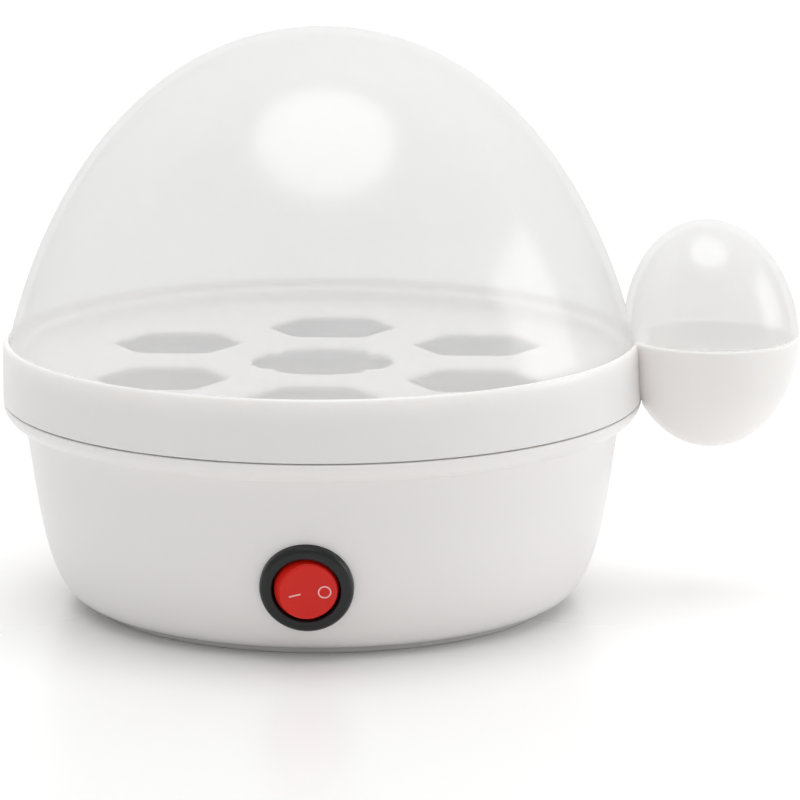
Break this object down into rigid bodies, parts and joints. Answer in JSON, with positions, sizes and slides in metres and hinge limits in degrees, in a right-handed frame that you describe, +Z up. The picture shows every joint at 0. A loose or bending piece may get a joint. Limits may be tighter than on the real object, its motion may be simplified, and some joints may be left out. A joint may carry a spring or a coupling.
{
  "type": "egg cooker",
  "caption": "Egg cooker with a rounded white heated base, lift-off egg tray with a half-egg cup at its side, clear egg-shaped lid and a round rocker switch.",
  "frame": {"origin": "on the main axis, on the surface that the cooker stands on", "axes": "+Z up, the switch faces -Y, the side cup is towards +X"},
  "size_m": [0.2178, 0.175, 0.1571],
  "materials": {
    "white_plastic": "smooth gloss",
    "cover_plastic": "fine texture",
    "foot_rubber": "matt",
    "screw_steel": "plated",
    "plate_steel": "spun",
    "gasket_rubber": "matt",
    "sheet_steel": "pressed",
    "spreader_aluminium": "satin",
    "element_sheath": "oxidised",
    "phenolic": "moulded",
    "tab_brass": "stamped",
    "block_plastic": "moulded",
    "gland_plastic": "moulded",
    "black_plastic": "smooth",
    "rocker_red": "translucent gloss",
    "mark_print": "printed",
    "lamp_glass": "clear",
    "brown_wire": "PVC",
    "red_wire": "silicone sleeve",
    "blue_wire": "PVC",
    "tray_plastic": "smooth gloss",
    "clear_plastic": "clear, polished"
  },
  "bodies": {
    "base": {"base_housing": "white_plastic", "basin_deck": "white_plastic", "bottom_cover": "cover_plastic", "foot_ring": "foot_rubber", "cover_screws": "screw_steel", "heating_plate": "plate_steel", "plate_gasket": "gasket_rubber", "retaining_ring": "sheet_steel", "ring_screws": "screw_steel", "heat_spreader": "spreader_aluminium", "heating_element": "element_sheath", "element_pins": "sheet_steel", "thermostat_cap": "spreader_aluminium", "thermostat_body": "phenolic", "thermostat_tabs": "tab_brass", "thermostat_bracket": "sheet_steel", "bracket_nuts": "screw_steel", "thermal_fuse": "tab_brass", "fuse_clip": "sheet_steel", "terminal_block": "block_plastic", "terminal_screws": "screw_steel", "cord_gland": "gland_plastic", "switch_housing": "black_plastic", "switch_tabs": "tab_brass", "switch_contact": "tab_brass", "live_wire": "brown_wire", "switched_wire": "brown_wire", "fuse_wire": "red_wire", "neutral_wire": "blue_wire"},
    "rocker": {"switch_rocker": "rocker_red", "rocker_marks": "mark_print", "rocker_lamp": "lamp_glass"},
    "tray": {"egg_tray": "tray_plastic"},
    "lid": {"lid": "clear_plastic"}
  },
  "joints": [
    {"name": "tray_lift", "type": "slide", "parent": "base", "child": "tray", "axis": [0, 0, 1], "range_m": [0, 0.06]},
    {"name": "lid_lift", "type": "slide", "parent": "tray", "child": "lid", "axis": [0, 0, 1], "range_m": [0, 0.1]},
    {"name": "rocker_tilt", "type": "hinge", "parent": "base", "child": "rocker", "pos_m": [0, -0.07605, 0.02121], "axis": [-0.1219, -0.2116, 0.9697], "range_deg": [-22, 0]}
  ]
}
